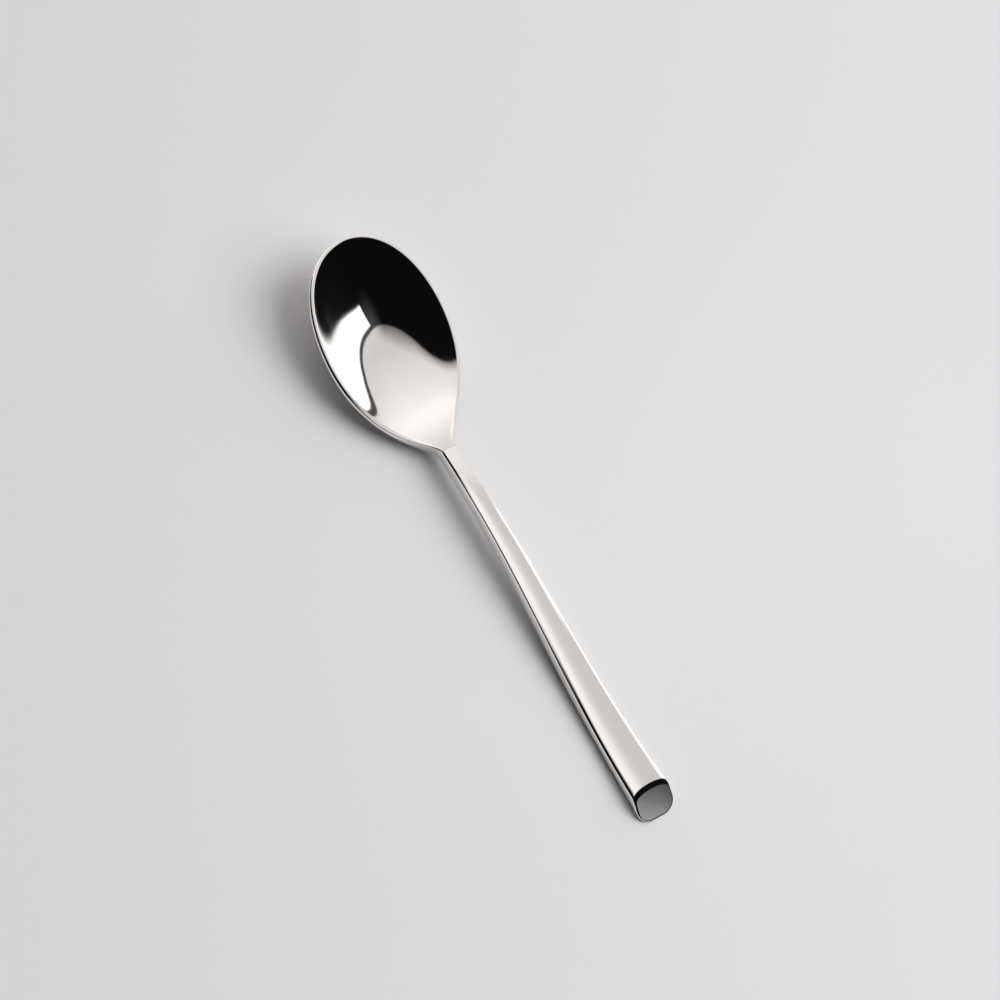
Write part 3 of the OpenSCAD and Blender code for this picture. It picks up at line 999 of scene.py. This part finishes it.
# %% Paint the card
GREY, FRONT_STEP, FRONT_SPAN = 0.69, 0.38, (19.0, 3.0)
SHADE_BACK_SPAN, SHADE_RIGHT_SPAN = (-3.0, -20.0), (14.0, 42.0)
BACK_STEP, BACK_SPAN = 0.65, (44.0, 56.0)
HANDLE_END_SPAN, FADE_IN_SPAN = (67.0, 64.0), (-25.0, -12.0)
WINDOW_STRENGTH, WINDOW_FRONT_SPAN = 1.25, (28.0, 32.0)
WINDOW_LEFT_SPAN, WINDOW_RIGHT_SPAN = (-16.0, -6.0), (30.0, 20.0)

glow = bpy.data.materials.new("card_glow")
glow.use_nodes = True
board = glow.node_tree
board.nodes.clear()
on_card = node(board, "ShaderNodeSeparateXYZ")
join(node(board, "ShaderNodeTexCoord").outputs["Object"], on_card.inputs[0])
right_mm, back_mm = (calc("DIVIDE", on_card.outputs[axis], MM) for axis in "XY")
light = plus(GREY, times(step_up(back_mm, *FRONT_SPAN), FRONT_STEP))
shade = times(step_up(back_mm, *SHADE_BACK_SPAN), step_up(right_mm, *SHADE_RIGHT_SPAN))
light = plus(times(light, minus(1.0, shade)), times(step_up(back_mm, *BACK_SPAN), BACK_STEP))
picture = paint(darkness(board), step_up(right_mm, *HANDLE_END_SPAN), DIFFUSER_TINT, light)
window_width = times(step_up(right_mm, *WINDOW_RIGHT_SPAN), step_up(right_mm, *WINDOW_LEFT_SPAN))
window = times(step_up(back_mm, *WINDOW_FRONT_SPAN), window_width)
picture = paint(picture, window, SOFTBOX_TINT, WINDOW_STRENGTH)
print("card nodes for the handle:", len(board.nodes))

# %% The dim part for the cap, and the card's glow
CAP_LIGHT, CAP_LIGHT_AT, CAP_LIGHT_TINT = 0.19, (93.0, 22.0), (0.98, 0.97, 1.0)
CAP_LIGHT_TO_RIGHT, CAP_LIGHT_TO_BACK, CAP_LIGHT_LEAST = 0.0115, -0.011, 0.08
CAP_LEFT_SPAN, CAP_RIGHT_SPAN = (88.0, 92.0), (132.0, 122.0)
CAP_FRONT_SPAN, CAP_BACK_SPAN = (4.0, 12.0), (48.0, 42.0)

over_cap = times(times(step_up(right_mm, *CAP_LEFT_SPAN), step_up(right_mm, *CAP_RIGHT_SPAN)),
                 times(step_up(back_mm, *CAP_BACK_SPAN), step_up(back_mm, *CAP_FRONT_SPAN)))
cap_light = plus(CAP_LIGHT, times(minus(right_mm, CAP_LIGHT_AT[0]), CAP_LIGHT_TO_RIGHT))
cap_light = plus(cap_light, times(minus(back_mm, CAP_LIGHT_AT[1]), CAP_LIGHT_TO_BACK))
cap_light = calc("MAXIMUM", cap_light, CAP_LIGHT_LEAST)
picture = paint(picture, over_cap, CAP_LIGHT_TINT, cap_light)
shine, clear, fade_in, done = (node(board, kind) for kind in (
    "ShaderNodeEmission", "ShaderNodeBsdfTransparent", "ShaderNodeMixShader",
    "ShaderNodeOutputMaterial"))
join(picture, shine.inputs["Color"])
join(step_up(right_mm, *FADE_IN_SPAN), fade_in.inputs["Fac"])
join(clear.outputs[0], fade_in.inputs[1])
join(shine.outputs[0], fade_in.inputs[2])
join(fade_in.outputs[0], done.inputs["Surface"])
dress(card, glow)
print("card nodes:", len(board.nodes))

# %% [markdown]
# ## Floor and floor lamp
# The floor is plain and pale. Its light comes from a big lamp high up at the back right, which
# throws a soft shadow forward and to the left. Reflections don't show this lamp, because the
# polished steel already has its own studio.

# %% Floor and lamp
FLOOR_SIZE, FLOOR_TINT, FLOOR_ROUGHNESS = 6, (0.72, 0.72, 0.73, 1), 0.9
LAMP_PLACE, LAMP_SIZE, LAMP_POWER = Vector((0.45, 0.75, 1.2)), 1.5, 20

bpy.ops.mesh.primitive_plane_add(size=FLOOR_SIZE, location=(0, 0, 0))
floor = bpy.context.active_object
floor.name = "studio_floor"
pale, _, pale_surface = new_material("pale_floor")
pale_surface.inputs["Base Color"].default_value = FLOOR_TINT
pale_surface.inputs["Roughness"].default_value = FLOOR_ROUGHNESS
dress(floor, pale)

bpy.ops.object.light_add(type="AREA", location=LAMP_PLACE)
lamp = bpy.context.active_object
lamp.name = "floor_lamp"
lamp.rotation_euler = (-LAMP_PLACE).to_track_quat("-Z", "Y").to_euler()
lamp.data.shape = "SQUARE"
lamp.data.size, lamp.data.energy = LAMP_SIZE, LAMP_POWER
lamp.visible_camera = lamp.visible_glossy = False
bpy.context.scene.view_settings.view_transform = "Standard"
print("lamp at", [round(v, 2) for v in lamp.location], "m")
